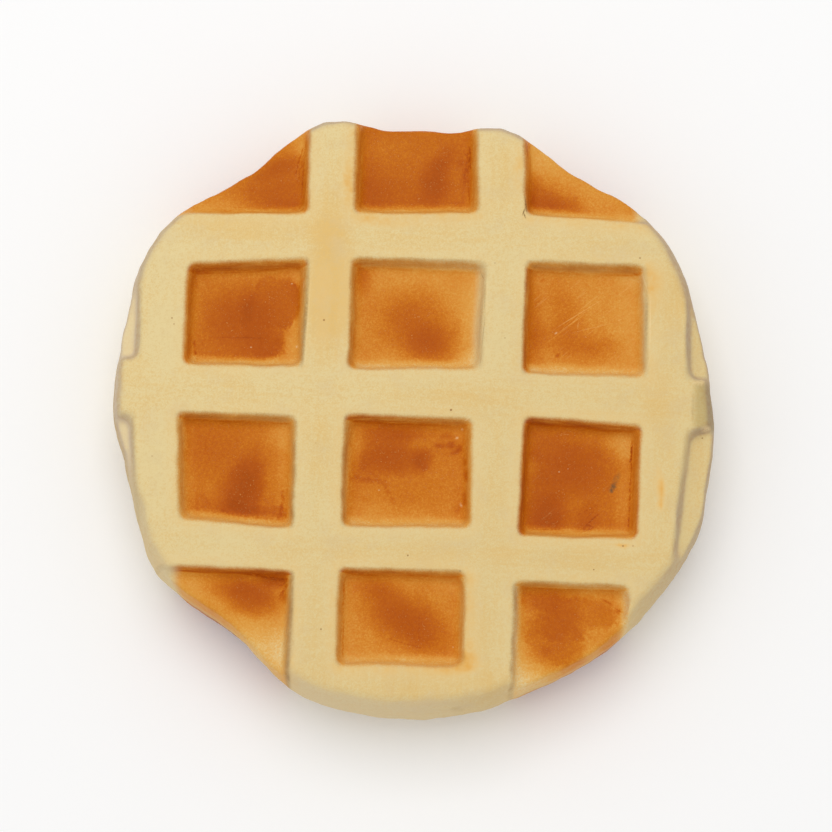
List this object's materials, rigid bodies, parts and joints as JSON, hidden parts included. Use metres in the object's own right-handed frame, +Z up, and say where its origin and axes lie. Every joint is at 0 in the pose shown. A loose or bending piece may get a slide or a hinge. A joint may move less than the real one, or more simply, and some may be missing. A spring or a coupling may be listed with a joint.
{
  "type": "toy belgian waffle",
  "caption": "Round soft-moulded toy waffle with a grid of square wells on both faces and a lobed rim, browned in the wells.",
  "frame": {"origin": "middle of the underside's box, on the surface that it rests on", "axes": "+Z up through the thickness, +X along the rows of wells to the picture's right, +Y to the picture's top"},
  "size_m": [0.0998, 0.0994, 0.02],
  "materials": {
    "cream_rubber": "matte cream, with satin brown paint sprayed into the wells"
  },
  "bodies": {
    "root": {"toy_waffle": "cream_rubber"}
  },
  "joints": []
}
